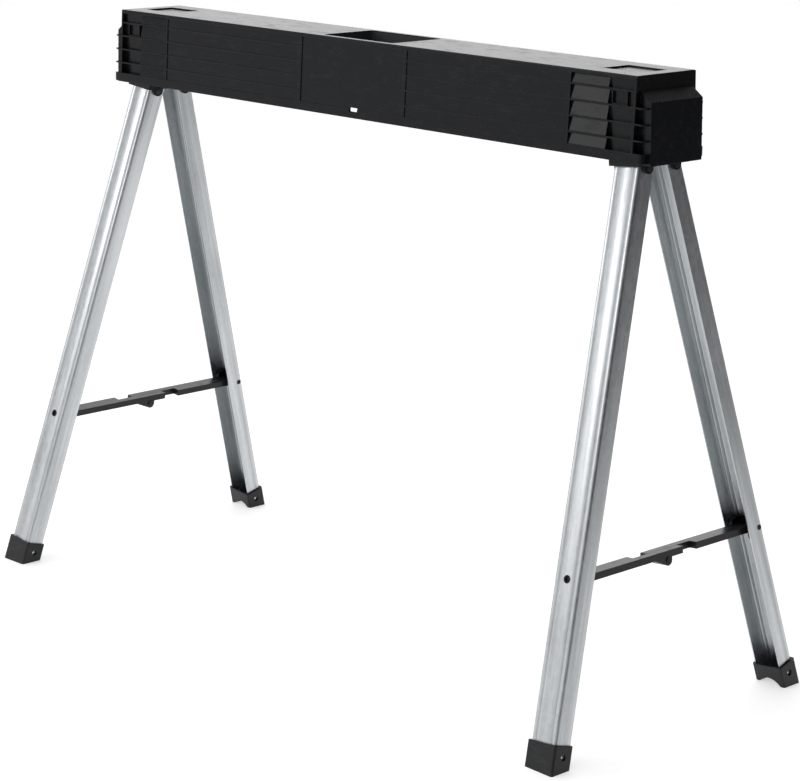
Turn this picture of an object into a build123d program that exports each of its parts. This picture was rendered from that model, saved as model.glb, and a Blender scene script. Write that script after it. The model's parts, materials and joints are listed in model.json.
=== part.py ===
from build123d import *
import math
import os

# Folding sawhorse: a hollow plastic beam on two A-frames of pressed steel channel.
# Each A-frame hangs from a yoke that turns on an axle in the beam's end, closes like a
# pair of scissors, and folds up into the beam.
# Frame: X along the beam, Y across it, Z up, origin on the floor under the beam's middle.

os.makedirs("parts", exist_ok=True)

# ---- overall sizes, mm and degrees ----
overall_height = 818.0
beam_length = 1000.0
beam_height = 104.0
beam_top_width = 107.0
beam_bottom_width = 117.0
top_edge_radius = 1.5
foot_past_end = 43.0      # floor under a leg's middle, past the beam's end
lean = 5.5                # each A-frame leans out by this much
splay = 15.6              # each leg opens from its partner by this much

# ---- beam walls and ribs ----
top_wall = 4.5
side_wall = 2.6
end_wall = 3.0
panel_depth = 1.0         # shallow bands of the long panels
pocket_depth = 4.0        # deeper bands near each end
pocket_tilt = 3.0         # a pocket's foot stands this much further out than its top
end_side_wall = 3.5       # side wall at the deep end recess
centre_panel_half = 100.0
centre_rib = 5.0
end_recess = 45.0         # the deep recess, from the beam's end
divider_inset = 107.0     # the dividing rib, from the beam's end
divider_rib = 2.5
corner_rib = 3.0
fin_thickness = 2.0
fin_pitch = 19.5
first_fin = 17.5          # top of the beam to the first fin
fin_count = 4
top_band = 5.0
lip_height = 12.0
fin_overhang = 15.0       # fins wrap round the corner past the end wall
fin_corner = 6.0
bulge_gap = 1.0           # beside the yoke
bulge_wall = 2.4
bulge_reach = 18.0
bulge_draft = 2.0
bulge_top = 31.0          # below the beam's top
bulge_shoulder = 18.0
bulge_drop = 3.0          # hangs below the beam's lip

# ---- carrying tray, top pads and latch slots ----
tray_half_length = 68.0
tray_half_width = 45.0
tray_depth = 16.0
tray_floor = 2.5
tray_corner = 5.0
pad_inset = 20.0          # from the beam's end
pad_length = 62.0
pad_half_width = 24.0
pad_depth = 2.0
pad_corner = 1.5
slot_length = 16.0
slot_height = 5.5
slot_rise = 11.0          # middle of the slot, above the beam's underside
slot_offset = 6.5         # towards the right end
slot_corner = 1.5
frame_inset = 15.0        # from the beam's end
frame_length = 25.0
frame_wall = 1.5
frame_proud = 3.0

# ---- legs ----
channel_width = 41.0
channel_depth = 26.0
channel_wall = 1.5
channel_radius = 3.5
bead_offset = 12.5
bead_width = 3.0
bead_depth = 0.6
axle_above_pivots = 29.0  # the lower axle, above the legs' pivots
leg_top_past_pivot = 12.0

# ---- feet ----
boot_wall = 3.0
boot_height = 30.0
sole = 12.0
arch_width = 34.0
arch_height = 8.5
boot_hole = 4.3
boot_hole_height = 16.5
dimple_radius = 3.3
dimple_proud = 1.0

# ---- yokes, axles and rivets ----
axle_radius = 4.0
axle_socket = 2.5
hub_radius = 9.0
yoke_plate = 3.0
yoke_clearance = 0.8      # between a leg's flange and the yoke's plate
yoke_lobe = 8.5
yoke_side_gap = 2.4       # to the beam's end bay
cheek_gap = 2.1           # between a closed leg's web and the yoke's cheek
cheek = 2.8
skirt_above_pivots = 2.0
bridge = 10.0
rivet_radius = 3.0
rivet_head = 5.5
rivet_head_height = 1.0
running_fit = 0.06
layer_gap = 1.0           # between the two folded A-frames, and under the tray

# ---- folding braces ----
brace_height = 220.0
bar_width = 22.0
bar_height = 9.0
bar_skin = 2.0
bar_end = 6.0
bar_nose = 4.4
knuckle_drop = 8.0
knuckle_radius = 7.0
knuckle_ramp = 26.0
lap_length = 54.0
lap_beyond = 28.0
lap_gap = 0.5
brace_pin_radius = 3.0
knuckle_rivet_radius = 2.5
knuckle_rivet_head = 4.5
bracket_base = 3.5
bracket_half_height = 12.5
bracket_open_side = 7.0
bracket_gap = 0.4
bracket_corner = 4.0
web_peg_radius = 5.0
web_peg_bore = 2.6
side_peg_radius = 3.5
side_peg_from_web = 6.0
peg_proud = 0.5
peg_slot = 1.6

# ---- derived levels ----
beam_bottom = overall_height - beam_height
ceiling = overall_height - top_wall
tray_underside = overall_height - tray_depth - tray_floor
upper_layer = tray_underside - layer_gap - channel_width / 2
lower_layer = upper_layer - channel_width - boot_wall - layer_gap
half_splay = math.radians(splay)
lean_angle = math.radians(lean)
pivot_height = lower_layer - axle_above_pivots
half_length = beam_length / 2
foot_reach = half_length + foot_past_end
pivot_x = foot_reach - pivot_height * math.tan(lean_angle)
slant = 1 / (math.cos(lean_angle) * math.cos(half_splay))   # length down a leg for each mm of height
leg_length = pivot_height * slant
brace_drop = (pivot_height - brace_height) * slant

# The closed legs stand clear of each other by the yoke's middle gap.
middle_gap = 25.4
pivot_y = (channel_depth + middle_gap) / 2
brace_pivot_y = pivot_y + brace_drop * math.sin(half_splay)
foot_y = pivot_y + leg_length * math.sin(half_splay)

# The yoke takes the closed legs, and the beam's ends take the yoke.
yoke_half_width = pivot_y + channel_depth / 2 + cheek_gap + cheek
end_bay_half_width = yoke_half_width + yoke_side_gap
recess_half_width = end_bay_half_width + end_side_wall
bulge_half_width = yoke_half_width + bulge_gap + bulge_wall
pocket_end = half_length - end_recess
divider = half_length - divider_inset
pad_centre = half_length - pad_inset - pad_length / 2
frame_centre = half_length - frame_inset - frame_length / 2

ENDS = {"left": -1, "right": 1}
SIDES = {"front": -1, "rear": 1}
AXLE_HEIGHT = {"left": lower_layer, "right": upper_layer}


def half_width(z):
    """Outside half width of the drafted beam at height z."""
    share = (overall_height - z) / beam_height
    return (beam_top_width + share * (beam_bottom_width - beam_top_width)) / 2


def up_direction(end):
    return Vector(-ENDS[end] * math.sin(lean_angle), 0, math.cos(lean_angle))


def across_direction(end):
    return Vector(math.cos(lean_angle), 0, ENDS[end] * math.sin(lean_angle))


def leg_axes(end, side):
    """Direction down the leg, and across its web. The rear leg is the front one turned round."""
    sign = SIDES[side]
    down = up_direction(end) * -math.cos(half_splay) + Vector(0, sign * math.sin(half_splay), 0)
    across = across_direction(end) * -sign
    return down, across


def leg_plane(end, side):
    """At the leg's pivot: local Z runs down the leg, local Y out through its web."""
    down, across = leg_axes(end, side)
    origin = Vector(ENDS[end] * pivot_x, SIDES[side] * pivot_y, pivot_height)
    return Plane(origin=origin, x_dir=across, z_dir=down)


def leg_point(end, side, x, y, along):
    return leg_plane(end, side).from_local_coords(Vector(x, y, along))


def flange_plane(end, side, along, y=0.0):
    """Across the leg at a distance down it: local Z runs from flange to flange."""
    down, across = leg_axes(end, side)
    return Plane(origin=leg_point(end, side, 0, y, along), x_dir=down, z_dir=across)


def brace_plane(end, side):
    """Side view of a brace half at its pivot: local X towards the middle, local Y up."""
    _, across = leg_axes(end, side)
    inward = Vector(0, -SIDES[side], 0)
    return Plane(origin=leg_point(end, side, 0, 0, brace_drop), x_dir=inward, z_dir=across)


def axle_x(end):
    rise = AXLE_HEIGHT[end] - pivot_height
    return ENDS[end] * (pivot_x - rise * math.tan(lean_angle))


def yoke_plane(end):
    """Face view of a yoke: local X along +Y, local Y up the A-frame, at the axle."""
    origin = Vector(axle_x(end), 0, AXLE_HEIGHT[end])
    return Plane(origin=origin, x_dir=(0, 1, 0), z_dir=across_direction(end))


# ---------------------------------------------------------------- beam

def fin_levels():
    """Underside of each fin, from the top one down."""
    top_fin = overall_height - first_fin - fin_thickness
    return [top_fin - index * fin_pitch for index in range(fin_count)]


def band_levels():
    """Floor and roof of each sunken band between the fins."""
    roofs = [overall_height - top_band] + fin_levels()
    floors = [level + fin_thickness for level in fin_levels()] + [beam_bottom + lip_height]
    return list(zip(floors, roofs))


def side_cutters(levels, wall, tilt=0):
    """Outlines across the beam that sink both of its sides to wall(z), less the tilt at the foot."""
    outlines = []
    outside = beam_bottom_width
    for floor, roof in levels:
        for sign in (-1, 1):
            outlines.append([
                (sign * (wall(floor) + tilt), floor),
                (sign * outside, floor),
                (sign * outside, roof),
                (sign * wall(roof), roof),
            ])
    return outlines


def panel_wall(z):
    return half_width(z) - panel_depth


def pocket_wall(z):
    return half_width(z) - pocket_depth


def recess_wall(z):
    return recess_half_width


def make_beam():
    end_x = half_length
    bulge_x = end_x + bulge_reach
    bulge_z = overall_height - bulge_top
    shoulder_z = overall_height - bulge_shoulder
    bulge_bottom = beam_bottom - bulge_drop
    with BuildPart() as beam:
        with BuildSketch(Plane.YZ.offset(-end_x)):
            with BuildLine():
                Polyline(
                    (-half_width(beam_bottom), beam_bottom),
                    (half_width(beam_bottom), beam_bottom),
                    (half_width(overall_height), overall_height),
                    (-half_width(overall_height), overall_height),
                    close=True,
                )
            make_face()
        extrude(amount=beam_length)
        fillet(beam.faces().sort_by(Axis.Z)[-1].edges(), radius=top_edge_radius)

        # Sunken bands leave the fins, the dividers and the corner ribs standing.
        zones = [
            (centre_panel_half + centre_rib, divider - divider_rib / 2, panel_wall, 0),
            (divider + divider_rib / 2, pocket_end, pocket_wall, pocket_tilt),
            (pocket_end, end_x - corner_rib, recess_wall, 0),
        ]
        for start, end, wall, tilt in zones:
            for first in (start, -end):
                with BuildSketch(Plane.YZ.offset(first)):
                    for outline in side_cutters(band_levels(), wall, tilt):
                        Polygon(*outline, align=None)
                extrude(amount=end - start, mode=Mode.SUBTRACT)
        whole_side = [(beam_bottom + lip_height, overall_height - top_band)]
        with BuildSketch(Plane.YZ.offset(-centre_panel_half)):
            for outline in side_cutters(whole_side, panel_wall):
                Polygon(*outline, align=None)
        extrude(amount=2 * centre_panel_half, mode=Mode.SUBTRACT)

        # The hollow: a drafted bay for the folded legs, and a straight bay at each end.
        skin = panel_depth + side_wall
        with BuildSketch(Plane.YZ.offset(-divider)):
            with BuildLine():
                Polyline(
                    (-half_width(beam_bottom) + skin, beam_bottom),
                    (half_width(beam_bottom) - skin, beam_bottom),
                    (half_width(ceiling) - skin, ceiling),
                    (-half_width(ceiling) + skin, ceiling),
                    close=True,
                )
            make_face()
        extrude(amount=2 * divider, mode=Mode.SUBTRACT)
        with BuildSketch(Plane.XY.offset(beam_bottom)):
            Rectangle(2 * (end_x - end_wall), 2 * end_bay_half_width)
        extrude(amount=ceiling - beam_bottom, mode=Mode.SUBTRACT)

        # Hollow bulge on each end wall, with a sloping shoulder.
        for sign in (-1, 1):
            with BuildSketch(Plane.XZ.offset(-bulge_half_width)):
                with BuildLine():
                    Polyline(
                        (sign * (end_x - end_wall), bulge_bottom),
                        (sign * (bulge_x + bulge_draft), bulge_bottom),
                        (sign * bulge_x, bulge_z),
                        (sign * end_x, shoulder_z),
                        (sign * (end_x - end_wall), shoulder_z),
                        close=True,
                    )
                make_face()
            extrude(amount=2 * bulge_half_width)
            with BuildSketch(Plane.XZ.offset(-bulge_half_width + bulge_wall)):
                with BuildLine():
                    Polyline(
                        (sign * (end_x - 2 * end_wall), bulge_bottom),
                        (sign * (bulge_x + bulge_draft - end_wall), bulge_bottom),
                        (sign * (bulge_x - end_wall), bulge_z - end_wall / 2),
                        (sign * (end_x - end_wall), shoulder_z - end_wall / 2),
                        (sign * (end_x - 2 * end_wall), shoulder_z - end_wall / 2),
                        close=True,
                    )
                make_face()
            extrude(amount=2 * (bulge_half_width - bulge_wall), mode=Mode.SUBTRACT)

        # Lower fins and the lip wrap round the four corners, outside the bulge.
        wraps = [(level, fin_thickness) for level in fin_levels()[1:]] + [(beam_bottom, lip_height)]
        inner_y = bulge_half_width - bulge_wall / 2
        for level, thickness in wraps:
            outer_y = half_width(level + thickness / 2)
            centre_x = end_x - corner_rib / 2 + fin_overhang / 2
            with BuildSketch(Plane.XY.offset(level)) as wrap:
                for sign_x in (-1, 1):
                    for sign_y in (-1, 1):
                        with Locations((sign_x * centre_x, sign_y * (inner_y + outer_y) / 2)):
                            Rectangle(fin_overhang + corner_rib, outer_y - inner_y)
                rows = wrap.vertices().group_by(Axis.Y)
                outer_rows = [rows[0].sort_by(Axis.X), rows[-1].sort_by(Axis.X)]
                fillet([row[which] for row in outer_rows for which in (0, -1)], radius=fin_corner)
            extrude(amount=thickness)

        # Carrying tray let into the top.
        with BuildSketch(Plane.XY.offset(tray_underside)):
            RectangleRounded(2 * (tray_half_length + tray_floor), 2 * (tray_half_width + tray_floor),
                             tray_corner + tray_floor)
        extrude(amount=ceiling - tray_underside)
        with BuildSketch(Plane.XY.offset(overall_height - tray_depth)):
            RectangleRounded(2 * tray_half_length, 2 * tray_half_width, tray_corner)
        extrude(amount=tray_depth, mode=Mode.SUBTRACT)

        # Shallow pads sunk in the top near each end.
        with BuildSketch(Plane.XY.offset(overall_height - pad_depth)):
            with Locations((-pad_centre, 0), (pad_centre, 0)):
                RectangleRounded(pad_length, 2 * pad_half_width, pad_corner)
        extrude(amount=pad_depth, mode=Mode.SUBTRACT)

        # A latch slot through the middle of each lip.
        with BuildSketch(Plane.XZ.offset(-beam_bottom_width)):
            with Locations((slot_offset, beam_bottom + slot_rise)):
                RectangleRounded(slot_length, slot_height, slot_corner)
        extrude(amount=2 * beam_bottom_width, mode=Mode.SUBTRACT)

        # Raised frames on the deep recesses, between the first two fins.
        frame_roof = fin_levels()[0]
        frame_floor = fin_levels()[1] + fin_thickness
        frame_height = frame_roof - frame_floor
        for base in (recess_half_width, -recess_half_width - frame_proud):
            with BuildSketch(Plane.XZ.offset(base)):
                for sign_x in (-1, 1):
                    with Locations((sign_x * frame_centre, (frame_roof + frame_floor) / 2)):
                        Rectangle(frame_length, frame_height)
                        Rectangle(frame_length - 2 * frame_wall, frame_height - 2 * frame_wall,
                                  mode=Mode.SUBTRACT)
            extrude(amount=frame_proud)

        # Blind sockets for the axles.
        socket_y = end_bay_half_width + axle_socket
        for end in ENDS:
            with BuildSketch(Plane.XZ.offset(-socket_y)):
                with Locations((axle_x(end), AXLE_HEIGHT[end])):
                    Circle(axle_radius)
            extrude(amount=2 * socket_y, mode=Mode.SUBTRACT)
    return beam


# ---------------------------------------------------------------- yokes and axles

def make_axle(end):
    half = end_bay_half_width + axle_socket
    with BuildPart() as axle:
        with BuildSketch(Plane.XZ.offset(-half)):
            with Locations((axle_x(end), AXLE_HEIGHT[end])):
                Circle(axle_radius)
        extrude(amount=2 * half)
    return axle


def make_yoke(end):
    """Hub and bridge on the axle, a plate on each side of the legs, a cheek over each web."""
    face = yoke_plane(end)
    inner = channel_width / 2 + yoke_clearance
    outer = inner + yoke_plate
    drop = (AXLE_HEIGHT[end] - pivot_height) / math.cos(lean_angle)
    skirt = drop - skirt_above_pivots
    room_width = 2 * (yoke_half_width - cheek)
    pivots = [(-pivot_y, -drop), (pivot_y, -drop)]
    with BuildPart() as yoke:
        with BuildSketch(face.offset(-outer)):
            with Locations((0, (hub_radius - skirt) / 2)):
                Rectangle(2 * yoke_half_width, hub_radius + skirt)
            with Locations(*pivots):
                Circle(yoke_lobe)
        extrude(amount=2 * outer)
        # Room for the legs below the bridge, and a hollow above it.
        with BuildSketch(face.offset(-inner)):
            with Locations((0, -bridge / 2 - drop)):
                Rectangle(room_width, 2 * drop)
            with Locations((0, bridge / 2 + hub_radius)):
                Rectangle(room_width, 2 * hub_radius)
        extrude(amount=2 * inner, mode=Mode.SUBTRACT)
        # Hub round the axle.
        hub_plane = Plane(origin=(axle_x(end), -yoke_half_width, AXLE_HEIGHT[end]),
                          x_dir=across_direction(end), z_dir=(0, 1, 0))
        with BuildSketch(hub_plane):
            Circle(hub_radius)
        extrude(amount=2 * yoke_half_width)
        with BuildSketch(hub_plane):
            Circle(axle_radius + running_fit)
        extrude(amount=2 * yoke_half_width, mode=Mode.SUBTRACT)
        # Rivet holes in the lobes.
        with BuildSketch(face.offset(-outer)):
            with Locations(*pivots):
                Circle(rivet_radius)
        extrude(amount=2 * outer, mode=Mode.SUBTRACT)
    return yoke


def make_leg_rivet(end, side):
    half = channel_width / 2 + yoke_clearance + yoke_plate
    plane = flange_plane(end, side, 0)
    with BuildPart() as rivet:
        with BuildSketch(plane.offset(-half)):
            Circle(rivet_radius)
        extrude(amount=2 * half)
        for start in (-half - rivet_head_height, half):
            with BuildSketch(plane.offset(start)):
                Circle(rivet_head)
            extrude(amount=rivet_head_height)
    return rivet


# ---------------------------------------------------------------- legs and feet

def make_leg(end, side):
    """Pressed channel: web outside, open side towards its partner, a bead along each web edge."""
    plane = leg_plane(end, side)
    length = leg_top_past_pivot + leg_length - sole * slant
    web_inside = channel_depth / 2 - channel_wall
    with BuildPart() as leg:
        with BuildSketch(plane.offset(-leg_top_past_pivot)):
            with BuildLine():
                Polyline(
                    (-channel_width / 2, -channel_depth / 2),
                    (-channel_width / 2, channel_depth / 2),
                    (-bead_offset - bead_width / 2, channel_depth / 2),
                    (-bead_offset, channel_depth / 2 - bead_depth),
                    (-bead_offset + bead_width / 2, channel_depth / 2),
                    (bead_offset - bead_width / 2, channel_depth / 2),
                    (bead_offset, channel_depth / 2 - bead_depth),
                    (bead_offset + bead_width / 2, channel_depth / 2),
                    (channel_width / 2, channel_depth / 2),
                    (channel_width / 2, -channel_depth / 2),
                    close=True,
                )
            make_face()
        extrude(amount=length)
        fillet(leg_edges_at(leg, plane, channel_width / 2, channel_depth / 2), radius=channel_radius)
        with BuildSketch(plane.offset(-leg_top_past_pivot)):
            with Locations((0, web_inside - channel_depth / 2)):
                Rectangle(channel_width - 2 * channel_wall, channel_depth)
        extrude(amount=length, mode=Mode.SUBTRACT)
        inside_x = channel_width / 2 - channel_wall
        fillet(leg_edges_at(leg, plane, inside_x, web_inside), radius=channel_radius - channel_wall)
        # Holes: pivot rivet through both flanges, brace pegs through the web and one flange.
        across = flange_plane(end, side, 0)
        with BuildSketch(across.offset(-channel_width)):
            Circle(rivet_radius + running_fit)
        extrude(amount=2 * channel_width, mode=Mode.SUBTRACT)
        with BuildSketch(web_plane(end, side)):
            Circle(web_peg_radius)
        extrude(amount=channel_depth, mode=Mode.SUBTRACT)
        with BuildSketch(side_peg_plane(end, side)):
            Circle(side_peg_radius)
        extrude(amount=-channel_width, mode=Mode.SUBTRACT)
        # A pressed dimple on each flange holds the boot.
        dimples = flange_plane(end, side, leg_length - boot_hole_height * slant)
        with BuildSketch(dimples.offset(-channel_width / 2 - dimple_proud)):
            Circle(dimple_radius)
        extrude(amount=dimple_proud)
        with BuildSketch(dimples.offset(channel_width / 2)):
            Circle(dimple_radius)
        extrude(amount=dimple_proud)
    return leg


def leg_edges_at(leg, plane, x, y):
    """Edges that run down the leg at plus and minus x on the web side."""
    found = []
    for edge in leg.edges().filter_by(Axis(plane.origin, plane.z_dir)):
        local = plane.to_local_coords(edge.center())
        if abs(abs(local.X) - x) < 0.05 and abs(local.Y - y) < 0.05:
            found.append(edge)
    return found


def web_plane(end, side):
    """On the inside of the web at the brace, local Z out through the web."""
    plane = leg_plane(end, side)
    origin = leg_point(end, side, 0, channel_depth / 2 - channel_wall, brace_drop)
    return Plane(origin=origin, x_dir=plane.x_dir, z_dir=plane.y_dir)


def side_peg_plane(end, side):
    return flange_plane(end, side, brace_drop, channel_depth / 2 - side_peg_from_web)


def make_boot(end, side):
    """Moulded foot round the channel's end, arched under its open side, with a hole over each dimple."""
    plane = leg_plane(end, side)
    top = leg_length - boot_height * slant
    arch_radius = ((arch_width / 2) ** 2 + arch_height ** 2) / (2 * arch_height)
    with BuildPart() as boot:
        with BuildSketch(plane.offset(top)):
            RectangleRounded(channel_width + 2 * boot_wall, channel_depth + 2 * boot_wall, boot_wall)
        extrude(amount=2 * boot_height)
        split(bisect_by=Plane.XY, keep=Keep.TOP)
        # Pocket for the channel, and the hollow inside it.
        with BuildSketch(plane.offset(top)) as pocket:
            Rectangle(channel_width, channel_depth)
            web_corners = [v for v in pocket.vertices() if plane.to_local_coords(v.center()).Y > 0]
            fillet(web_corners, radius=channel_radius)
        extrude(amount=leg_length - sole * slant - top, mode=Mode.SUBTRACT)
        # Arch from the leg's middle to its open side, which leaves two toes there.
        with BuildSketch(Plane.XZ.offset(-SIDES[side] * foot_y)):
            with Locations((ENDS[end] * foot_reach, arch_height - arch_radius)):
                Circle(arch_radius)
        extrude(amount=SIDES[side] * foot_y, mode=Mode.SUBTRACT)
        holes = flange_plane(end, side, leg_length - boot_hole_height * slant)
        with BuildSketch(holes.offset(-channel_width)):
            Circle(boot_hole)
        extrude(amount=2 * channel_width, mode=Mode.SUBTRACT)
    return boot


# ---------------------------------------------------------------- folding braces

def make_bracket(end, side):
    """Moulded clevis inside the channel: a peg snaps through the web, another through a flange."""
    plane = flange_plane(end, side, brace_drop)
    web_inside = channel_depth / 2 - channel_wall
    half = channel_width / 2 - channel_wall - bracket_gap
    slot_half = bar_width / 2 + bracket_gap
    with BuildPart() as bracket:
        with BuildSketch(plane.offset(-half)) as block:
            with Locations((0, (bracket_open_side - web_inside) / 2)):
                Rectangle(2 * bracket_half_height, web_inside + bracket_open_side)
            open_corners = [v for v in block.vertices() if plane.to_local_coords(v.center()).Y > 0]
            fillet(open_corners, radius=bracket_corner)
        extrude(amount=2 * half)
        outward = Axis(plane.origin, leg_plane(end, side).y_dir)
        web_edges = bracket.edges().filter_by(Axis(plane.origin, plane.x_dir)).group_by(outward)[-1]
        fillet(web_edges, radius=channel_radius - channel_wall + bracket_gap)
        with BuildSketch(plane.offset(-slot_half)):
            with Locations((0, bracket_base - web_inside + channel_depth / 2)):
                Rectangle(2 * channel_depth, channel_depth)
        extrude(amount=2 * slot_half, mode=Mode.SUBTRACT)
        with BuildSketch(plane.offset(-half)):
            Circle(brace_pin_radius)
        extrude(amount=2 * half, mode=Mode.SUBTRACT)
        with BuildSketch(web_plane(end, side)):
            Circle(web_peg_radius)
            Circle(web_peg_bore, mode=Mode.SUBTRACT)
            Rectangle(peg_slot, 2 * web_peg_radius, mode=Mode.SUBTRACT)
        extrude(amount=channel_wall + peg_proud)
        peg_start = channel_width / 2 + peg_proud
        with BuildSketch(side_peg_plane(end, side).offset(-peg_start)):
            Circle(side_peg_radius)
        extrude(amount=peg_start - half)
    return bracket


def make_brace_pin(end, side):
    half = channel_width / 2 - channel_wall - bracket_gap
    with BuildPart() as pin:
        with BuildSketch(flange_plane(end, side, brace_drop).offset(-half)):
            Circle(brace_pin_radius)
        extrude(amount=2 * half)
    return pin


def make_brace_half(end, side):
    """Ribbed bar from a leg to the middle, where it laps beside its partner over a low knuckle."""
    plane = brace_plane(end, side)
    lap_start = brace_pivot_y - lap_length
    lap_end = brace_pivot_y + lap_beyond
    lane = bar_width / 2 - lap_gap / 2
    half = bar_height / 2
    with BuildPart() as bar:
        with BuildSketch(plane.offset(-bar_width / 2)):
            with Locations(((lap_start - bar_end) / 2, 0)):
                Rectangle(lap_start + bar_end, bar_height)
        extrude(amount=bar_width)
        fillet(bar.edges().filter_by(Axis(plane.origin, plane.z_dir)).group_by(
            Axis(plane.origin, plane.x_dir))[0], radius=bar_nose)
        # Hollow underside, closed at both ends.
        with BuildSketch(plane.offset(-bar_width / 2 + bar_skin)):
            with Locations(((lap_start + bar_end) / 2, -bar_skin)):
                Rectangle(lap_start - 3 * bar_end, bar_height)
        extrude(amount=bar_width - 2 * bar_skin, mode=Mode.SUBTRACT)
        # The lap takes one side of the bar's width and carries the knuckle.
        with BuildSketch(plane.offset(lap_gap / 2)):
            with Locations(((lap_start + lap_end) / 2, 0)):
                Rectangle(lap_end - lap_start, bar_height)
            with BuildLine():
                Polyline(
                    (brace_pivot_y - knuckle_ramp, -half),
                    (brace_pivot_y - knuckle_radius / 2, -knuckle_drop - knuckle_radius * 0.85),
                    (brace_pivot_y + knuckle_radius, -knuckle_drop),
                    (brace_pivot_y + knuckle_radius, -half),
                    close=True,
                )
            make_face()
            with Locations((brace_pivot_y, -knuckle_drop)):
                Circle(knuckle_radius)
                Circle(knuckle_rivet_radius, mode=Mode.SUBTRACT)
        extrude(amount=lane)
        with BuildSketch(plane.offset(-bar_width)):
            Circle(brace_pin_radius + running_fit)
        extrude(amount=2 * bar_width, mode=Mode.SUBTRACT)
    return bar


def make_knuckle_rivet(end, side):
    """Half of the middle rivet: its shank in one knuckle, with its head outside."""
    plane = brace_plane(end, side)
    with BuildPart() as rivet:
        with BuildSketch(plane.offset(lap_gap / 2)):
            with Locations((brace_pivot_y, -knuckle_drop)):
                Circle(knuckle_rivet_radius)
        extrude(amount=bar_width / 2 - lap_gap / 2)
        with BuildSketch(plane.offset(bar_width / 2)):
            with Locations((brace_pivot_y, -knuckle_drop)):
                Circle(knuckle_rivet_head)
        extrude(amount=rivet_head_height)
    return rivet


def save(name, piece):
    piece.part.label = name
    export_step(piece.part, f"parts/{name}.step")


save("beam_shell", make_beam())
for end_name in ENDS:
    save(f"axle_{end_name}", make_axle(end_name))
    save(f"yoke_{end_name}", make_yoke(end_name))
    for side_name in SIDES:
        place = f"{end_name}_{side_name}"
        save(f"leg_{place}", make_leg(end_name, side_name))
        save(f"leg_rivet_{place}", make_leg_rivet(end_name, side_name))
        save(f"boot_{place}", make_boot(end_name, side_name))
        save(f"bracket_{place}", make_bracket(end_name, side_name))
        save(f"brace_pin_{place}", make_brace_pin(end_name, side_name))
        save(f"brace_{place}", make_brace_half(end_name, side_name))
        save(f"knuckle_rivet_{place}", make_knuckle_rivet(end_name, side_name))
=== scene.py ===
# %% [markdown]
# # A folding sawhorse
# The real object is a hollow moulded plastic beam on two A-frames of pressed, galvanised steel
# channel. The CAD model already has the exact solids, so this lesson gives them their finishes,
# and makes the pieces that follow a rule, the channels and the rivets, with Geometry Nodes.
#
# The frame could be rebuilt by hand in Blender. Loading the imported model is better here, because
# every piece then sits where the joints and the collision shapes expect it.

# %% Load the frame
import json
import math

import bpy
from mathutils import Matrix, Vector


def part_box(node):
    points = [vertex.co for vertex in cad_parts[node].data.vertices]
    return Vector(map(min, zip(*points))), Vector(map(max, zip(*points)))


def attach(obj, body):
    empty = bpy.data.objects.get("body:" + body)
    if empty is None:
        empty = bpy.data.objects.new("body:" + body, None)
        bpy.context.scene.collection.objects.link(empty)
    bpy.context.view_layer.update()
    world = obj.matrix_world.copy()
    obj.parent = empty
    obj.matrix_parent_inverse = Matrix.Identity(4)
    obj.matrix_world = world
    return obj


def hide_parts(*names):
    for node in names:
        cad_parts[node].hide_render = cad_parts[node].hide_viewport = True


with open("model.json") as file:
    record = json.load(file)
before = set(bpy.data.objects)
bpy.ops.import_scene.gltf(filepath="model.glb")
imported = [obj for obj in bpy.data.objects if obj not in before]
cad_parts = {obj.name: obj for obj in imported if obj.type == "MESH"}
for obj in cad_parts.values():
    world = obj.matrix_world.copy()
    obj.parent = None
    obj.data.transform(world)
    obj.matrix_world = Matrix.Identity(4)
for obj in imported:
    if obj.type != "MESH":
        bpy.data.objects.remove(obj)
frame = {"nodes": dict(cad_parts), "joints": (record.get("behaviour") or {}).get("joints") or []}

PLACES = ("left_front", "left_rear", "right_front", "right_rear")

nodes = frame["nodes"]
joints = {joint["name"]: joint for joint in frame["joints"]}
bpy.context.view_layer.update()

# %% [markdown]
# ## The camera
# The object is seen from its front right corner, from a little above the beam. A long lens at
# some distance keeps the legs nearly parallel. The camera could be aimed with a Track To
# constraint, but a matrix built from yaw, pitch and roll also holds the small tilt of the frame.

# %% Place the camera
CAMERA_POSITION = Vector((2.45676, -2.30607, 1.17758))
CAMERA_YAW = 0.80799
CAMERA_PITCH = 0.24647
CAMERA_ROLL = 0.01344
LENS_MM = 112.79
SENSOR_MM = 36.0


def camera_axes(yaw, pitch, roll):
    """Right, up and forward of a camera that is turned, tipped down and rolled."""
    forward = Vector((
        -math.sin(yaw) * math.cos(pitch),
        math.cos(yaw) * math.cos(pitch),
        -math.sin(pitch),
    ))
    level = Vector((math.cos(yaw), math.sin(yaw), 0))
    above = level.cross(forward)
    right = math.cos(roll) * level + math.sin(roll) * above
    up = -math.sin(roll) * level + math.cos(roll) * above
    return right, up, forward


right, up, forward = camera_axes(CAMERA_YAW, CAMERA_PITCH, CAMERA_ROLL)
camera = bpy.data.objects.new("camera", bpy.data.cameras.new("camera"))
bpy.context.scene.collection.objects.link(camera)
camera_turn = Matrix((right, up, -forward)).transposed().to_4x4()
camera.matrix_world = Matrix.Translation(CAMERA_POSITION) @ camera_turn
camera.data.sensor_width = SENSOR_MM
camera.data.lens = LENS_MM
camera.data.clip_end = 60
bpy.context.scene.camera = camera
bpy.context.scene.view_settings.view_transform = "Standard"
print("lens", round(camera.data.lens, 1), "mm")
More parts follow.
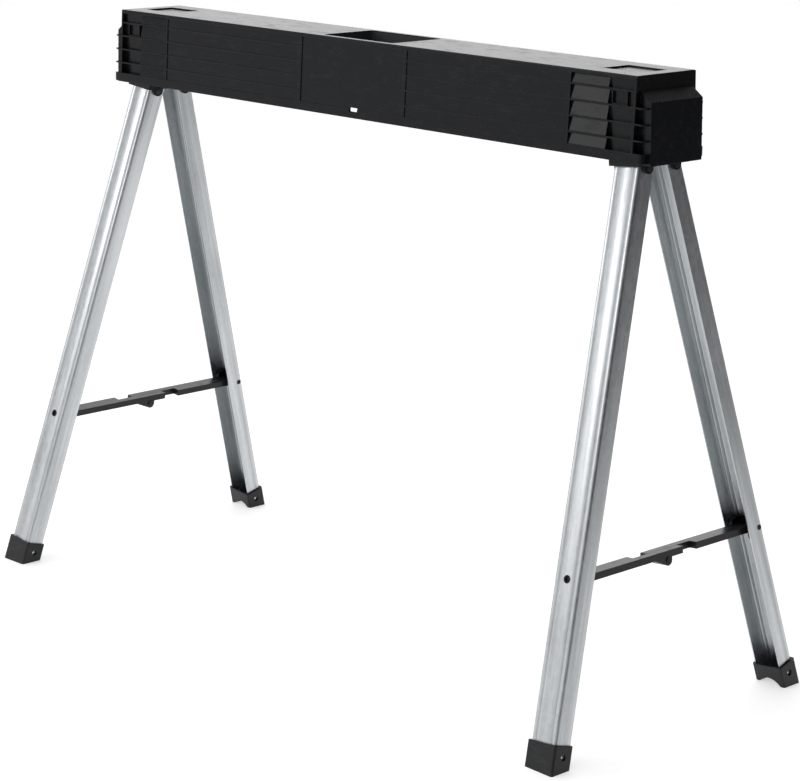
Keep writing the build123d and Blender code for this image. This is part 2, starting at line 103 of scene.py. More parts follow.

# %% [markdown]
# ## The studio
# A studio for black and shiny things has a white sweep that glows from below as painted light, a bright
# wall behind the object and a dark room off to one side. The bright wall lays a sheen along the beam's top,
# and the dark side keeps the beam's end black and gives the steel its dark streaks. An even
# white sky would light every face alike, so the sky fades towards the dark side, and the floor's colour and
# glow are painted darker towards it: a painted shade.

# %% Floor and sky
FLOOR_SIZE = 30.0
FLOOR_GLOW = 0.62
FLOOR_PALE = 0.93
FLOOR_DARK = 0.12
FLOOR_FADE = (0.85, 4.2)
DARK_SIDE = (0.95, 0.31, 0.0)
BRIGHT_WALL = (-0.70, 0.67, 0.25)
SKY_FILL = 0.62
SKY_DARK = 0.05
SKY_FADE = (-0.3, 0.45)
WALL_GLOW = 0.85
WALL_EDGE = (0.72, 0.97)


def facing(tree, source, direction):
    """How far a point or a direction lies towards a given direction."""
    node = tree.nodes.new("ShaderNodeVectorMath")
    node.operation = "DOT_PRODUCT"
    tree.links.new(source, node.inputs[0])
    node.inputs[1].default_value = direction
    return node.outputs["Value"]


def fade(tree, value, start, end, first, last):
    """A smooth change from the first number to the last as the value goes from start to end."""
    node = tree.nodes.new("ShaderNodeMapRange")
    node.interpolation_type = "SMOOTHSTEP"
    tree.links.new(value, node.inputs["Value"])
    for socket, number in (("From Min", start), ("From Max", end), ("To Min", first), ("To Max", last)):
        node.inputs[socket].default_value = number
    return node.outputs["Result"]


floor_mesh = bpy.data.meshes.new("studio_floor")
reach = FLOOR_SIZE / 2
floor_mesh.from_pydata(
    [(-reach, -reach, 0), (reach, -reach, 0), (reach, reach, 0), (-reach, reach, 0)], [], [(0, 1, 2, 3)]
)
floor = bpy.data.objects.new("studio_floor", floor_mesh)
bpy.context.scene.collection.objects.link(floor)

floor_finish = bpy.data.materials.new("studio_white")
floor_finish.use_nodes = True
floor_tree = floor_finish.node_tree
floor_shader = floor_tree.nodes["Principled BSDF"]
floor_place = floor_tree.nodes.new("ShaderNodeTexCoord").outputs["Object"]
# The floor glows as painted light, and its colour and glow are painted darker towards the dark side: a
# painted shade.
towards_dark = facing(floor_tree, floor_place, DARK_SIDE)
floor_painted_shade = fade(floor_tree, towards_dark, *FLOOR_FADE, FLOOR_PALE, FLOOR_DARK)
floor_tree.links.new(floor_painted_shade, floor_shader.inputs["Base Color"])
floor_tree.links.new(floor_painted_shade, floor_shader.inputs["Emission Color"])
floor_shader.inputs["Emission Strength"].default_value = FLOOR_GLOW
floor_shader.inputs["Roughness"].default_value = 0.9
floor_shader.inputs["Specular IOR Level"].default_value = 0.1
floor_mesh.materials.append(floor_finish)

world = bpy.data.worlds.new("studio_sky")
bpy.context.scene.world = world
world.use_nodes = True
sky = world.node_tree
sky_way = sky.nodes.new("ShaderNodeTexCoord").outputs["Generated"]
room = fade(sky, facing(sky, sky_way, DARK_SIDE), *SKY_FADE, SKY_FILL, SKY_DARK)
wall_light = fade(sky, facing(sky, sky_way, BRIGHT_WALL), *WALL_EDGE, 0.0, WALL_GLOW)
sky.nodes["Background"].inputs["Color"].default_value = (1, 1, 1, 1)
sky_sum = sky.nodes.new("ShaderNodeMath")
sky.links.new(room, sky_sum.inputs[0])
sky.links.new(wall_light, sky_sum.inputs[1])
sky.links.new(sky_sum.outputs["Value"], sky.nodes["Background"].inputs["Strength"])

# %% Lights
def soft_light(name, position, target, width, height, power):
    """A large rectangular light at a position, aimed at a target."""
    light = bpy.data.objects.new(name, bpy.data.lights.new(name, "AREA"))
    light.data.shape = "RECTANGLE"
    light.data.size = width
    light.data.size_y = height
    light.data.energy = power
    bpy.context.scene.collection.objects.link(light)
    aim = Vector(target) - Vector(position)
    light.rotation_euler = aim.to_track_quat("-Z", "Y").to_euler()
    light.location = position
    return light


# Name, position, target, width and height in metres, power in watts.
LIGHTS = (
    ("light_overhead", (-0.6, 0.4, 3.4), (0, 0, 0), 3.0, 3.0, 26),
    ("light_front", (-2.9, -3.65, 1.8), (0.4, 0, 0.7), 1.5, 1.5, 24),
)
for light_facts in LIGHTS:
    soft_light(*light_facts)
print("studio:", len(LIGHTS), "soft lights, floor glow", FLOOR_GLOW, "sky", SKY_FILL)

# %% [markdown]
# ## Small helpers for the finishes
# Every finish is a graph of procedural nodes around one Principled shader. Typing each link out
# would bury the idea, so a small class adds a node, sets its numbers and links its inputs.

# %% A short way to write shader graphs
class Finish:
    """A material with one Principled shader, and short calls that add nodes to it."""

    def __init__(self, name, **constants):
        self.material = bpy.data.materials.new(name)
        self.material.use_nodes = True
        self.tree = self.material.node_tree
        self.shader = self.tree.nodes["Principled BSDF"]
        for socket, value in constants.items():
            self.shader.inputs[socket.replace("_", " ")].default_value = value

    def add(self, kind, settings=None, **inputs):
        """One node; inputs are numbers, colours or the output sockets of other nodes."""
        node = self.tree.nodes.new(kind)
        for name, value in (settings or {}).items():
            setattr(node, name, value)
        for name, value in inputs.items():
            key = int(name[1:]) if name[0] == "i" and name[1:].isdigit() else name.replace("_", " ")
            if isinstance(value, bpy.types.NodeSocket):
                self.tree.links.new(value, node.inputs[key])
            else:
                node.inputs[key].default_value = value
        return node

    def stretched(self, source, scale):
        """The source coordinates, scaled by three numbers."""
        return self.add("ShaderNodeMapping", Vector=source, Scale=scale).outputs["Vector"]

    def noise(self, source, scale, detail=3.0, roughness=0.5):
        return self.add(
            "ShaderNodeTexNoise", Vector=source, Scale=scale, Detail=detail, Roughness=roughness
        ).outputs["Fac"]

    def ramp(self, factor, *stops):
        """A colour ramp through (position, grey or colour) stops."""
        node = self.add("ShaderNodeValToRGB", Fac=factor)
        elements = node.color_ramp.elements
        while len(elements) < len(stops):
            elements.new(0.5)
        for element, (position, value) in zip(elements, stops):
            element.position = position
            element.color = (*value, 1) if isinstance(value, tuple) else (value, value, value, 1)
        return node.outputs["Color"]

    def spread(self, factor, low, high, start=0.0, end=1.0):
        """The factor between start and end, spread from low to high."""
        node = self.add("ShaderNodeMapRange", Value=factor)
        for socket, value in (("From Min", start), ("From Max", end), ("To Min", low), ("To Max", high)):
            node.inputs[socket].default_value = value
        return node.outputs["Result"]

    def mix(self, factor, first, second):
        node = self.add("ShaderNodeMix", {"data_type": "RGBA"})
        for index, value in ((0, factor), (6, first), (7, second)):
            if isinstance(value, bpy.types.NodeSocket):
                self.tree.links.new(value, node.inputs[index])
            else:
                node.inputs[index].default_value = value if index == 0 else (*value, 1)
        return node.outputs[2]

    def math(self, operation, first, second):
        return self.add("ShaderNodeMath", {"operation": operation}, i0=first, i1=second).outputs["Value"]

    def bump(self, height, strength, distance, under=None):
        node = self.add("ShaderNodeBump", Height=height, Strength=strength, Distance=distance)
        if under is not None:
            self.tree.links.new(under, node.inputs["Normal"])
        return node.outputs["Normal"]

    def soft_edges(self, radius):
        """Normals that round the edges a little, as a mould leaves them."""
        return self.add("ShaderNodeBevel", {"samples": 4}, Radius=radius).outputs["Normal"]

    def place(self):
        """Where a point of the surface is, in the object's own space."""
        return self.add("ShaderNodeTexCoord").outputs["Object"]

    def out(self, socket, value):
        self.tree.links.new(value, self.shader.inputs[socket])


print("shader helper ready")

# %% [markdown]
# ## Moulded black plastic
# The beam is blow-moulded, so its skin is smooth but never flat: it waves a little over tens of
# millimetres, it is finely pebbled, and handling leaves dull scuffs on it. A flat black would
# show none of that. Three noises at three sizes give the wave, the pebble and the
# scuffs, and the Bevel node rounds the edges for the light. Inside the carrying tray the skin is
# painted greyer, a painted light that stands in for the light on the tray's floor.
#
# The yokes, braces and feet are injection moulded in a duller, coarser-grained black, so they
# get the same recipe with other numbers.

# %% Black plastics
def black_plastic(name, colour, pale, gloss, wave_height, pebble_height, pebble_scale, edge, level):
    """Moulded black plastic. Gloss is the pair of roughness values between smooth and scuffed."""
    finish = Finish(name, Specular_IOR_Level=level)
    place = finish.place()
    wave = finish.noise(place, 9.0, 1.0)
    pebble = finish.noise(place, pebble_scale, 2.0)
    scuff = finish.noise(finish.stretched(place, (1.0, 2.6, 2.6)), 34.0, 6.0, 0.68)
    worn = finish.spread(scuff, 0.0, 1.0, 0.52, 0.74)
    skin = finish.mix(worn, colour, pale)
    finish.out("Base Color", skin)
    finish.out("Roughness", finish.spread(worn, gloss[0], gloss[1]))
    normal = finish.bump(pebble, 0.35, pebble_height, finish.soft_edges(edge))
    finish.out("Normal", finish.bump(wave, 0.5, wave_height, normal))
    return finish, skin


def paint_light_in_box(finish, skin, low, high, painted_light):
    """Paints the skin paler inside a box, as painted light."""
    axes = finish.add("ShaderNodeSeparateXYZ", Vector=finish.place())
    inside = 1.0
    for axis, least, greatest in zip("XYZ", low, high):
        above = finish.math("GREATER_THAN", axes.outputs[axis], least)
        below = finish.math("LESS_THAN", axes.outputs[axis], greatest)
        inside = finish.math("MULTIPLY", inside, finish.math("MULTIPLY", above, below))
    finish.out("Base Color", finish.mix(inside, skin, painted_light))


beam_finish, beam_skin = black_plastic(
    "beam_black", colour=(0.0052, 0.0058, 0.0074), pale=(0.0105, 0.0115, 0.0145),
    gloss=(0.24, 0.36), wave_height=0.0012, pebble_height=0.00005, pebble_scale=900.0,
    edge=0.0009, level=0.16,
)
yoke_finish, _ = black_plastic(
    "yoke_black", colour=(0.0055, 0.0055, 0.0065), pale=(0.013, 0.013, 0.0145),
    gloss=(0.38, 0.52), wave_height=0.0004, pebble_height=0.00008, pebble_scale=1400.0,
    edge=0.0006, level=0.2,
)
brace_finish, _ = black_plastic(
    "brace_black", colour=(0.010, 0.010, 0.012), pale=(0.024, 0.024, 0.027),
    gloss=(0.32, 0.46), wave_height=0.0005, pebble_height=0.00008, pebble_scale=1200.0,
    edge=0.0007, level=0.3,
)
boot_finish, _ = black_plastic(
    "boot_black", colour=(0.012, 0.0125, 0.0145), pale=(0.034, 0.034, 0.037),
    gloss=(0.42, 0.58), wave_height=0.0005, pebble_height=0.0001, pebble_scale=1100.0,
    edge=0.0009, level=0.3,
)
# Inside the tray the skin is painted paler: painted light for the tray's floor.
TRAY_LOW = (-0.069, -0.046, 0.800)
TRAY_HIGH = (0.069, 0.046, 0.8168)
TRAY_PAINTED_LIGHT = (0.085, 0.087, 0.092)
paint_light_in_box(beam_finish, beam_skin, TRAY_LOW, TRAY_HIGH, TRAY_PAINTED_LIGHT)
print("black plastics: beam, yoke, brace, boot")

# %% [markdown]
# ## Galvanised steel
# Hot-dip strip has two looks at once. The zinc freezes into pale crystals a few millimetres
# across, the spangle, and the rolls that press the strip into a channel drag it into streaks that
# run its whole length. The streaks follow the channel, not the room, so the channels carry
# their own coordinates in an attribute called "steel": X across the web, Z down the leg. Object
# coordinates with a different turn for each leg would also work, but would need four finishes.

# %% Galvanised and zinc-plated steel
def galvanised_steel():
    finish = Finish("galvanised_steel", Metallic=1.0)
    steel = finish.add("ShaderNodeAttribute", {"attribute_name": "steel"}).outputs["Vector"]
    broad = finish.noise(finish.stretched(steel, (70.0, 70.0, 1.6)), 1.0, 3.0, 0.6)
    fine = finish.noise(finish.stretched(steel, (900.0, 900.0, 9.0)), 1.0, 2.0, 0.6)
    patch = finish.noise(finish.stretched(steel, (9.0, 9.0, 4.5)), 1.0, 4.0, 0.6)
    cells = finish.add(
        "ShaderNodeTexVoronoi", Vector=finish.stretched(steel, (260.0, 260.0, 150.0)), Scale=1.0
    ).outputs["Color"]
    spangle = finish.add("ShaderNodeSeparateColor", Color=cells).outputs["Red"]
    broad_part = finish.spread(broad, -0.5, 0.5, 0.3, 0.7)
    fine_part = finish.spread(fine, -0.22, 0.22, 0.3, 0.7)
    streak = finish.math("ADD", broad_part, fine_part)
    streak_tone = finish.spread(streak, 0.36, 0.64, -0.6, 0.6)
    tone = finish.math("ADD", streak_tone, finish.spread(spangle, -0.03, 0.03))
    tone = finish.math("ADD", tone, finish.spread(patch, -0.06, 0.06, 0.35, 0.65))
    finish.out("Base Color", finish.ramp(
        tone, (0.3, (0.37, 0.39, 0.40)), (0.5, (0.54, 0.562, 0.575)), (0.7, (0.70, 0.722, 0.735))
    ))
    streak_gloss = finish.spread(streak, 0.42, 0.3, -0.6, 0.6)
    finish.out("Roughness", finish.math("ADD", streak_gloss, finish.spread(spangle, -0.04, 0.04)))
    normal = finish.bump(fine, 0.25, 0.00004, finish.soft_edges(0.0005))
    finish.out("Normal", finish.bump(broad, 0.3, 0.0004, normal))
    return finish.material


def zinc_plated(name, colour, pale, gloss):
    """Plated or blackened steel of pins and rivets, with faint turning marks and dull spots."""
    finish = Finish(name, Metallic=1.0)
    place = finish.place()
    spots = finish.noise(place, 380.0, 4.0, 0.6)
    finish.out("Base Color", finish.mix(finish.spread(spots, 0.0, 1.0, 0.35, 0.65), colour, pale))
    finish.out("Roughness", finish.spread(spots, gloss[0], gloss[1], 0.35, 0.65))
    finish.out("Normal", finish.bump(finish.noise(place, 1600.0), 0.2, 0.00004, finish.soft_edges(0.0003)))
    return finish.material


channel_steel = galvanised_steel()
pin_steel = zinc_plated("pin_steel", (0.10, 0.10, 0.104), (0.24, 0.24, 0.237), (0.34, 0.5))
oxide_black = zinc_plated("oxide_black", (0.02, 0.02, 0.021), (0.05, 0.05, 0.052), (0.35, 0.5))
print("steels: channel, pins, rivets")

# %% [markdown]
# ## Give each CAD part its finish
# A CAD part keeps its exact mesh and only changes its material. The name of the part says what
# it is made of.

# %% Finish the CAD parts
FINISHES = (
    ("beam_shell", beam_finish.material),
    ("yoke_", yoke_finish.material),
    ("boot_", boot_finish.material),
    ("bracket_", yoke_finish.material),
    ("brace_pin_", pin_steel),
    ("brace_", brace_finish.material),
    ("knuckle_rivet_", oxide_black),
    ("leg_rivet_", oxide_black),
    ("leg_", channel_steel),
    ("axle_", pin_steel),
)


def finish_of(name):
    return next(finish for start, finish in FINISHES if name.startswith(start))


for name, part in nodes.items():
    part.data.materials.clear()
    part.data.materials.append(finish_of(name))
print("finished", len(nodes), "CAD parts")

# %% [markdown]
# ## A short way to write node trees
# The channels and the rivets are made by rules, so they are Geometry Nodes trees. A tree could be
# clicked together and saved in a file. Building it in the script keeps everything in one place,
# and shows each step.

# %% Geometry Nodes helper
class Rule:
    """A Geometry Nodes tree with named inputs, and short calls that add nodes to it."""

    def __init__(self, name):
        self.tree = bpy.data.node_groups.new(name, "GeometryNodeTree")
        self.tree.interface.new_socket("Geometry", in_out="INPUT", socket_type="NodeSocketGeometry")
        self.tree.interface.new_socket("Geometry", in_out="OUTPUT", socket_type="NodeSocketGeometry")
        self.source = self.tree.nodes.new("NodeGroupInput")
        self.result = self.tree.nodes.new("NodeGroupOutput")
        self.keys = {}

    def value(self, name, kind="Float"):
        """A named input of the tree."""
        socket = self.tree.interface.new_socket(name, in_out="INPUT", socket_type="NodeSocket" + kind)
        self.keys[name] = socket.identifier
        return next(s for s in self.source.outputs if s.identifier == socket.identifier)

    def add(self, kind, settings=None, **inputs):
        node = self.tree.nodes.new(kind)
        for name, value in (settings or {}).items():
            setattr(node, name, value)
        for name, value in inputs.items():
            key = int(name[1:]) if name[0] == "i" and name[1:].isdigit() else name.replace("_", " ")
            self.put(node.inputs[key], value)
        return node

    def put(self, socket, value):
        if isinstance(value, bpy.types.NodeSocket):
            self.tree.links.new(value, socket)
        else:
            socket.default_value = value

    def math(self, operation, first, second=0.0):
        return self.add("ShaderNodeMath", {"operation": operation}, i0=first, i1=second).outputs["Value"]

    def vector(self, x=0.0, y=0.0, z=0.0):
        return self.add("ShaderNodeCombineXYZ", X=x, Y=y, Z=z).outputs["Vector"]

    def moved(self, geometry, translation=(0, 0, 0), rotation=(0, 0, 0)):
        return self.add(
            "GeometryNodeTransform", Geometry=geometry, Translation=translation, Rotation=rotation
        ).outputs["Geometry"]

    def joined(self, *pieces):
        node = self.add("GeometryNodeJoinGeometry")
        for piece in pieces:
            self.tree.links.new(piece, node.inputs["Geometry"])
        return node.outputs["Geometry"]

    def cylinder(self, radius, depth, sides=32, rings=1):
        return self.add(
            "GeometryNodeMeshCylinder", Radius=radius, Depth=depth, Vertices=sides, Fill_Segments=rings
        ).outputs["Mesh"]

    def finish(self, geometry, material, crease_degrees):
        """Realises the instances, shades the faces smooth up to a crease, and sets the material."""
        plain = self.add("GeometryNodeRealizeInstances", Geometry=geometry).outputs["Geometry"]
        angle = self.add("GeometryNodeInputMeshEdgeAngle").outputs["Unsigned Angle"]
        crease = self.math("GREATER_THAN", angle, math.radians(crease_degrees))
        faces = self.add("GeometryNodeSetShadeSmooth", {"domain": "FACE"}, Geometry=plain)
        soft = self.math("SUBTRACT", 1.0, crease)
        edges = {"domain": "EDGE"}
        smooth = faces.outputs["Geometry"]
        creased = self.add("GeometryNodeSetShadeSmooth", edges, Geometry=smooth, Shade_Smooth=soft)
        shaded = creased.outputs["Geometry"]
        dressed = self.add("GeometryNodeSetMaterial", Geometry=shaded, Material=material)
        self.tree.links.new(dressed.outputs["Geometry"], self.result.inputs["Geometry"])


def make_by_rule(rule, name, values):
    """Runs a tree with these input values and returns its result as a plain mesh object."""
    holder = bpy.data.objects.new(name + "_rule", bpy.data.meshes.new(name + "_rule"))
    modifier = holder.modifiers.new("rule", "NODES")
    modifier.node_group = rule.tree
    for label, value in values.items():
        modifier[rule.keys[label]] = value
    bpy.context.scene.collection.objects.link(holder)
    bpy.context.view_layer.update()
    evaluated = holder.evaluated_get(bpy.context.evaluated_depsgraph_get())
    mesh = bpy.data.meshes.new_from_object(evaluated)
    mesh.name = name
    holder.modifiers.clear()
    bpy.data.objects.remove(holder)
    piece = bpy.data.objects.new(name, mesh)
    bpy.context.scene.collection.objects.link(piece)
    return piece


print("node tree helper ready")

# %% [markdown]
# ## Where each leg stands
# A leg's own space has X across its web, Y out through the web and Z down the leg, with its
# origin on the pivot. The two joints of a leg, the pivot at its top and the brace's pin, give
# that line exactly, so no number has to be copied from the drawing.

# %% Leg spaces
def leg_space(place):
    """The leg's own space as a matrix, and the distance down it to the brace's pin."""
    pivot = Vector(joints[place + "_splay"]["pos_m"])
    pin = Vector(joints[place + "_brace"]["pos_m"])
    across = Vector(joints[place + "_splay"]["axis"]).normalized()
    down = (pin - pivot).normalized()
    outward = down.cross(across)
    turn = Matrix((across, outward, down)).transposed().to_4x4()
    return Matrix.Translation(pivot) @ turn, (pin - pivot).length


leg_spaces = {place: leg_space(place) for place in PLACES}
for place, (space, drop) in leg_spaces.items():
    print(place, "pivot", [round(c, 4) for c in space.translation], "brace", round(drop, 4), "m down")

# %% [markdown]
# ## The channels
# A pressed channel is one flat strip, bent twice, with a bead pressed along each side of the web.
# Its section is the same all the way down, which is a rule: a thin, tall strip travels along the
# bent section line. That gives the true wall thickness, the rounded bends and the beads in one
# Curve to Mesh node. Holes are cut afterwards with cylinders, as a punch does.
#
# Each corner of the section line is a point whose place is worked out from the named sizes.
# The line runs down the middle of the wall.

# %% The channel's rule
BEND_STEPS = 10
CHANNEL_CREASE = 32


def channel_rule():
    rule = Rule("pressed_channel")
    width = rule.value("Width")
    depth = rule.value("Depth")
    wall = rule.value("Wall")
    radius = rule.value("Bend radius")
    bead_x = rule.value("Bead offset")
    bead_w = rule.value("Bead width")
    bead_d = rule.value("Bead depth")
    length = rule.value("Length")
    above = rule.value("Length above pivot")
    rivet_hole = rule.value("Rivet hole radius")
    web_hole = rule.value("Web hole radius")
    side_hole = rule.value("Side hole radius")
    side_inset = rule.value("Side hole from web")
    brace_at = rule.value("Brace distance")
    dimple = rule.value("Dimple radius")
    proud = rule.value("Dimple height")
    dimple_at = rule.value("Dimple distance")
    turn = rule.value("Turn", "Rotation")
    pivot = rule.value("Pivot", "Vector")
    material = rule.value("Material", "Material")

    half_wall = rule.math("MULTIPLY", wall, 0.5)
    flange_x = rule.math("SUBTRACT", rule.math("MULTIPLY", width, 0.5), half_wall)
    open_y = rule.math("MULTIPLY", depth, -0.5)
    web_y = rule.math("SUBTRACT", rule.math("MULTIPLY", depth, 0.5), half_wall)
    groove_y = rule.math("SUBTRACT", web_y, bead_d)
    half_bead = rule.math("MULTIPLY", bead_w, 0.5)
    outer_x = rule.math("ADD", bead_x, half_bead)
    inner_x = rule.math("SUBTRACT", bead_x, half_bead)
    half = [(flange_x, open_y), (flange_x, web_y), (outer_x, web_y), (bead_x, groove_y), (inner_x, web_y)]
    section = [(rule.math("MULTIPLY", x, -1.0), y) for x, y in half] + half[::-1]

    # Ten points on a line, each moved to its own corner of the section.
    line = rule.add("GeometryNodeMeshLine", Count=len(section)).outputs["Mesh"]
    index = rule.add("GeometryNodeInputIndex").outputs["Index"]
    corner = rule.add("GeometryNodeIndexSwitch", {"data_type": "VECTOR"}, Index=index)
    while len(corner.index_switch_items) < len(section):
        corner.index_switch_items.new()
    for step, (x, y) in enumerate(section):
        rule.put(corner.inputs[step + 1], rule.vector(x, y))
    bent = rule.add("GeometryNodeSetPosition", Geometry=line, Position=corner.outputs[0])
    line = rule.add("GeometryNodeMeshToCurve", Mesh=bent.outputs["Geometry"]).outputs["Curve"]

    # Only the two bends are rounded: the second point and the second from the end.
    first_bend = rule.add("FunctionNodeCompare", {"data_type": "INT", "operation": "EQUAL"}, i2=index, i3=1)
    last_bend = rule.add(
        "FunctionNodeCompare", {"data_type": "INT", "operation": "EQUAL"}, i2=index, i3=len(section) - 2
    )
    is_bend = rule.math("ADD", first_bend.outputs["Result"], last_bend.outputs["Result"])
    bend_radius = rule.math("MULTIPLY", is_bend, rule.math("SUBTRACT", radius, half_wall))
    line = rule.add("GeometryNodeFilletCurve", Curve=line, Radius=bend_radius)
    line.mode = "POLY"
    line.inputs["Count"].default_value = BEND_STEPS
    strip = rule.add("GeometryNodeCurvePrimitiveQuadrilateral", Width=wall, Height=length).outputs["Curve"]
    channel = rule.add(
        "GeometryNodeCurveToMesh", Curve=line.outputs["Curve"], Profile_Curve=strip, Fill_Caps=True
    ).outputs["Mesh"]
    middle = rule.math("SUBTRACT", rule.math("MULTIPLY", length, 0.5), above)
    channel = rule.moved(channel, rule.vector(z=middle))

    # Punches: one through both flanges at the pivot, one through the web and one through a flange.
    across_turn = (0, math.pi / 2, 0)
    through = rule.math("MULTIPLY", width, 2.0)
    rivet_punch = rule.moved(rule.cylinder(rivet_hole, through), rotation=across_turn)
    web_punch = rule.moved(
        rule.cylinder(web_hole, rule.math("MULTIPLY", wall, 4.0)),
        rule.vector(y=web_y, z=brace_at), (math.pi / 2, 0, 0),
    )
    side_y = rule.math("SUBTRACT", rule.math("MULTIPLY", depth, 0.5), side_inset)
    side_punch = rule.moved(
        rule.cylinder(side_hole, rule.math("MULTIPLY", wall, 4.0)),
        rule.vector(rule.math("MULTIPLY", flange_x, -1.0), side_y, brace_at), across_turn,
    )
    punched = rule.add("GeometryNodeMeshBoolean", {"operation": "DIFFERENCE", "solver": "EXACT"})
    rule.tree.links.new(channel, punched.inputs["Mesh 1"])
    for punch in (rivet_punch, web_punch, side_punch):
        rule.tree.links.new(punch, punched.inputs["Mesh 2"])

    # Dimples: one small dome, copied onto a point on each flange.
    dome = rule.add("GeometryNodeMeshUVSphere", Segments=20, Rings=10, Radius=dimple).outputs["Mesh"]
    spots = rule.add(
        "GeometryNodeMeshLine", {"mode": "END_POINTS"}, Count=2,
        Start_Location=rule.vector(flange_x, 0.0, dimple_at),
        Offset=rule.vector(rule.math("MULTIPLY", flange_x, -1.0), 0.0, dimple_at),
    ).outputs["Mesh"]
    flat = rule.vector(rule.math("DIVIDE", rule.math("ADD", proud, half_wall), dimple), 1.0, 1.0)
    domes = rule.add("GeometryNodeInstanceOnPoints", Points=spots, Instance=dome, Scale=flat)
    shape = rule.joined(punched.outputs["Mesh"], domes.outputs["Instances"])
    shape = rule.add("GeometryNodeRealizeInstances", Geometry=shape).outputs["Geometry"]

    # The finish reads this attribute, so it is stored before the channel is moved to its leg.
    place = rule.add("GeometryNodeInputPosition").outputs["Position"]
    vectors = {"data_type": "FLOAT_VECTOR"}
    stored = rule.add("GeometryNodeStoreNamedAttribute", vectors, Geometry=shape, Name="steel")
    rule.put(stored.inputs["Value"], place)
    rule.finish(rule.moved(stored.outputs["Geometry"], pivot, turn), material, CHANNEL_CREASE)
    return rule


pressed_channel = channel_rule()
print("channel rule:", len(pressed_channel.tree.nodes), "nodes,", len(pressed_channel.keys), "inputs")

# %% [markdown]
# The section's sizes are those of the drawing, and the dimples are a tenth of a millimetre lower,
# because a pressed dome blends into the flange. How far the channel reaches is measured from
# the CAD part itself: its corners are read in the leg's own space.

# %% Make the four channels
CHANNEL_WIDTH = 0.041
CHANNEL_DEPTH = 0.026
CHANNEL_WALL = 0.0015
BEND_RADIUS = 0.0035
BEAD_OFFSET = 0.0125
BEAD_WIDTH = 0.003
BEAD_DEPTH = 0.0006
RIVET_HOLE = 0.00306
WEB_HOLE = 0.005
SIDE_HOLE = 0.0035
SIDE_HOLE_FROM_WEB = 0.006
DIMPLE_RADIUS = 0.0033
DIMPLE_HEIGHT = 0.0009
BOOT_HOLE_HEIGHT = 0.0165


def reach_down(part, space):
    """The least and greatest distance down the leg that a CAD part reaches."""
    to_leg = space.inverted()
    along = [(to_leg @ vertex.co).z for vertex in part.data.vertices]
    return min(along), max(along)


for place, (space, brace_drop) in leg_spaces.items():
    top, bottom = reach_down(nodes["leg_" + place], space)
    slant = space.translation.z / -(space.to_3x3() @ Vector((0, 0, 1))).z
    per_height = slant / space.translation.z
    channel = make_by_rule(pressed_channel, "channel_" + place, {
        "Width": CHANNEL_WIDTH,
        "Depth": CHANNEL_DEPTH,
        "Wall": CHANNEL_WALL,
        "Bend radius": BEND_RADIUS,
        "Bead offset": BEAD_OFFSET,
        "Bead width": BEAD_WIDTH,
        "Bead depth": BEAD_DEPTH,
        "Length": bottom - top,
        "Length above pivot": -top,
        "Rivet hole radius": RIVET_HOLE,
        "Web hole radius": WEB_HOLE,
        "Side hole radius": SIDE_HOLE,
        "Side hole from web": SIDE_HOLE_FROM_WEB,
        "Brace distance": brace_drop,
        "Dimple radius": DIMPLE_RADIUS,
        "Dimple height": DIMPLE_HEIGHT,
        "Dimple distance": slant - BOOT_HOLE_HEIGHT * per_height,
        "Turn": space.to_euler(),
        "Pivot": space.translation,
        "Material": channel_steel,
    })
    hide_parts("leg_" + place)
    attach(channel, "leg_" + place)
    cad_low, cad_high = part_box("leg_" + place)
    corners = [vertex.co for vertex in channel.data.vertices]
    low = Vector(min(c[i] for c in corners) for i in range(3))
    high = Vector(max(c[i] for c in corners) for i in range(3))
    print(channel.name, len(channel.data.polygons), "faces, off the CAD box by",
          [round(1000 * (low[i] - cad_low[i]), 2) for i in range(3)],
          [round(1000 * (high[i] - cad_high[i]), 2) for i in range(3)], "mm")

# %% [markdown]
# ## The leg rivets
# A rivet is a shank with a low dome at each end. The dome's height at any radius is one short
# formula, so the head starts as a flat disc with rings and the rule lifts it. The same head is
# placed at both ends by instancing. A lathe or a screw modifier would also do, but would need a
# profile drawn for each size.

# %% The rivet's rule
HEAD_SIDES = 40
HEAD_RINGS = 8
RIVET_CREASE = 40


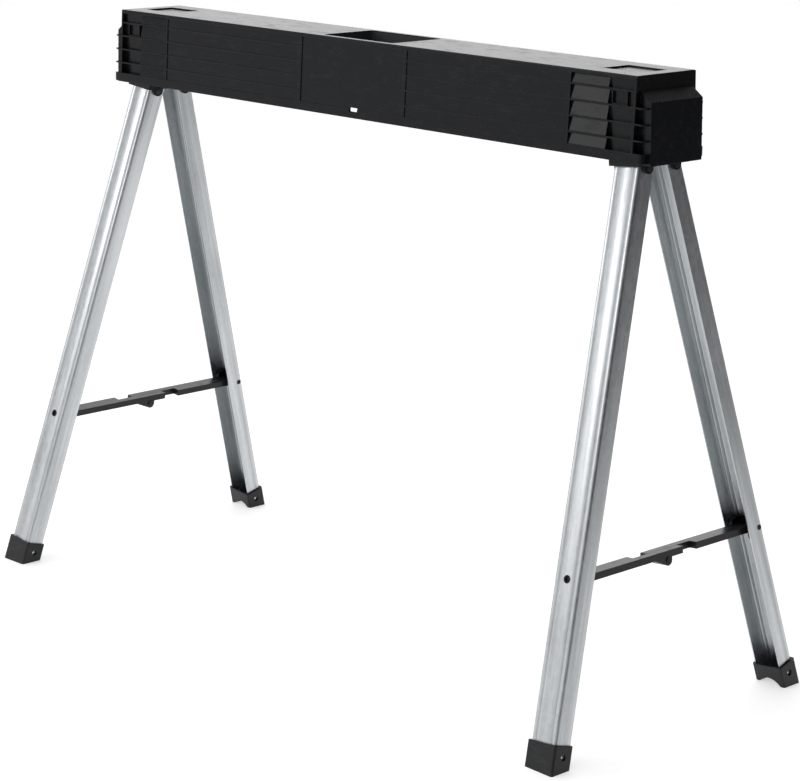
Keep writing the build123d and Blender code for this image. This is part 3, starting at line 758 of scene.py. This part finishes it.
def rivet_rule():
    rule = Rule("domed_rivet")
    shank_radius = rule.value("Shank radius")
    head_radius = rule.value("Head radius")
    rim = rule.value("Rim height")
    crown = rule.value("Crown height")
    grip = rule.value("Grip length")
    turn = rule.value("Turn", "Rotation")
    centre = rule.value("Centre", "Vector")
    material = rule.value("Material", "Material")

    head = rule.cylinder(head_radius, rim, HEAD_SIDES, HEAD_RINGS)
    place = rule.add("GeometryNodeInputPosition").outputs["Position"]
    axes = rule.add("ShaderNodeSeparateXYZ", Vector=place)
    x_squared = rule.math("POWER", axes.outputs["X"], 2.0)
    y_squared = rule.math("POWER", axes.outputs["Y"], 2.0)
    outwards = rule.math("SQRT", rule.math("ADD", x_squared, y_squared))
    share = rule.math("DIVIDE", outwards, head_radius)
    lift = rule.math("MULTIPLY", crown, rule.math("SUBTRACT", 1.0, rule.math("POWER", share, 2.0)))
    is_top = rule.math("GREATER_THAN", axes.outputs["Z"], 0.0)
    head = rule.add(
        "GeometryNodeSetPosition", Geometry=head, Offset=rule.vector(z=rule.math("MULTIPLY", lift, is_top))
    ).outputs["Geometry"]

    half_grip = rule.math("ADD", rule.math("MULTIPLY", grip, 0.5), rule.math("MULTIPLY", rim, 0.5))
    ends = rule.add(
        "GeometryNodeMeshLine", {"mode": "END_POINTS"}, Count=2,
        Start_Location=rule.vector(z=half_grip),
        Offset=rule.vector(z=rule.math("MULTIPLY", half_grip, -1.0)),
    ).outputs["Mesh"]
    index = rule.add("GeometryNodeInputIndex").outputs["Index"]
    flip = rule.vector(x=rule.math("MULTIPLY", index, math.pi))
    flip = rule.add("FunctionNodeEulerToRotation", Euler=flip).outputs["Rotation"]
    heads = rule.add("GeometryNodeInstanceOnPoints", Points=ends, Instance=head, Rotation=flip)
    shank = rule.cylinder(shank_radius, grip)
    upright = rule.joined(shank, heads.outputs["Instances"])
    across = rule.moved(upright, rotation=(0, math.pi / 2, 0))
    rule.finish(rule.moved(across, centre, turn), material, RIVET_CREASE)
    return rule


domed_rivet = rivet_rule()
RIVET_SHANK = 0.003
RIVET_HEAD = 0.0055
RIVET_RIM = 0.0004
RIVET_CROWN = 0.0006
RIVET_GRIP = 0.0486

for place, (space, _) in leg_spaces.items():
    rivet = make_by_rule(domed_rivet, "domed_rivet_" + place, {
        "Shank radius": RIVET_SHANK,
        "Head radius": RIVET_HEAD,
        "Rim height": RIVET_RIM,
        "Crown height": RIVET_CROWN,
        "Grip length": RIVET_GRIP,
        "Turn": space.to_euler(),
        "Centre": space.translation,
        "Material": oxide_black,
    })
    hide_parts("leg_rivet_" + place)
    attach(rivet, "yoke_" + place.split("_")[0])
print("rivets:", len(leg_spaces), "with", len(rivet.data.polygons), "faces each")
